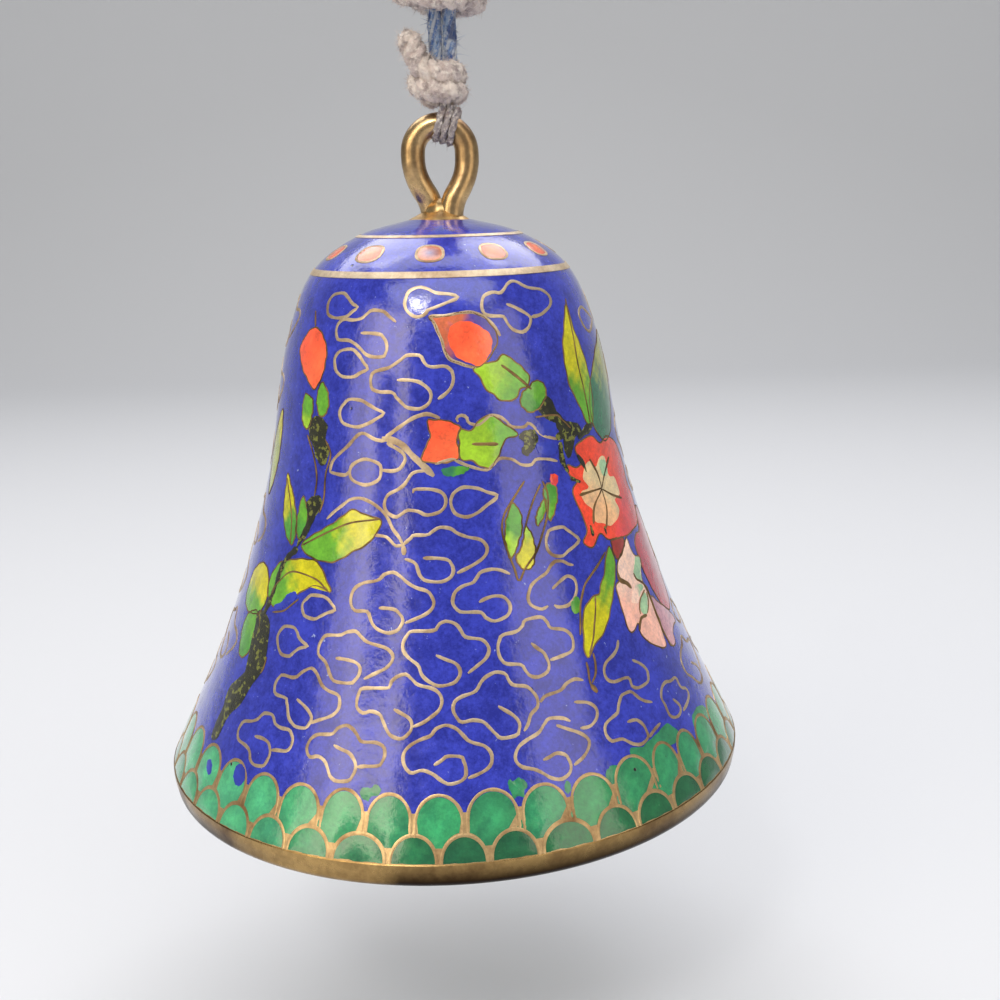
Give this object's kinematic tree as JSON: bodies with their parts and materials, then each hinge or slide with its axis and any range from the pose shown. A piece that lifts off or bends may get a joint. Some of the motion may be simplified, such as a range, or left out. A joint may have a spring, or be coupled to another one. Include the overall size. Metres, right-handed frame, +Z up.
{
  "type": "cloisonne hanging bell",
  "caption": "Small flared enamelled bell with scroll wires and a scale border, hung by a wire loop on a knotted cord, with a linked ball clapper.",
  "frame": {"origin": "the underside of the hanging loop's top, where the cord rests on its hook", "axes": "+Z up along the bell's axis, X across the hanger's loop, -Y towards the side that the picture shows"},
  "size_m": [0.0502, 0.0502, 0.0798],
  "materials": {
    "copper": "spun copper, dull",
    "rim_brass": "worn satin brass",
    "gilt_wire": "polished gilt wire",
    "hanger_brass": "polished brass wire with dark tarnish",
    "blue_enamel": "glossy fired enamel",
    "green_enamel": "glossy fired enamel",
    "counter_enamel": "fired enamel",
    "pale_cord": "fuzzy spun cord",
    "blue_cord": "plied floss cord"
  },
  "bodies": {
    "cord_top": {"hanging_loop": "blue_cord", "upper_knot": "pale_cord", "strand_left_upper": "blue_cord", "strand_right_upper": "blue_cord"},
    "cord_drop": {"strand_left_lower": "blue_cord", "strand_right_lower": "blue_cord", "lower_knot": "pale_cord", "bight_left": "pale_cord", "bight_right": "pale_cord"},
    "bell": {"bell_shell": "copper", "rim_band": "rim_brass", "scale_enamel_lower": "green_enamel", "scale_enamel_upper": "green_enamel", "ground_enamel": "blue_enamel", "crown_enamel": "blue_enamel", "cap_enamel": "blue_enamel", "crown_wire": "gilt_wire", "cap_wire": "gilt_wire", "counter_enamel": "counter_enamel", "crown_collar": "gilt_wire", "inner_washer": "rim_brass", "hanger_loop": "hanger_brass", "clapper_eye": "hanger_brass"},
    "link": {"clapper_link": "hanger_brass"},
    "clapper": {"clapper_rod": "hanger_brass", "clapper_ball": "rim_brass"}
  },
  "joints": [
    {"name": "cord_flex", "type": "hinge", "parent": "cord_top", "child": "cord_drop", "pos_m": [0, 0, -0.016], "axis": [1, 0, 0], "range_deg": [-25, 25]},
    {"name": "bell_swing", "type": "hinge", "parent": "cord_drop", "child": "bell", "pos_m": [0, 0, -0.02525], "axis": [0, 1, 0], "range_deg": [-45, 45]},
    {"name": "link_swing", "type": "hinge", "parent": "bell", "child": "link", "pos_m": [0, 0, -0.03739], "axis": [0, 1, 0], "range_deg": [-8, 8]},
    {"name": "clapper_swing", "type": "hinge", "parent": "link", "child": "clapper", "pos_m": [0, 0, -0.04074], "axis": [1, 0, 0], "range_deg": [-26, 26]}
  ]
}
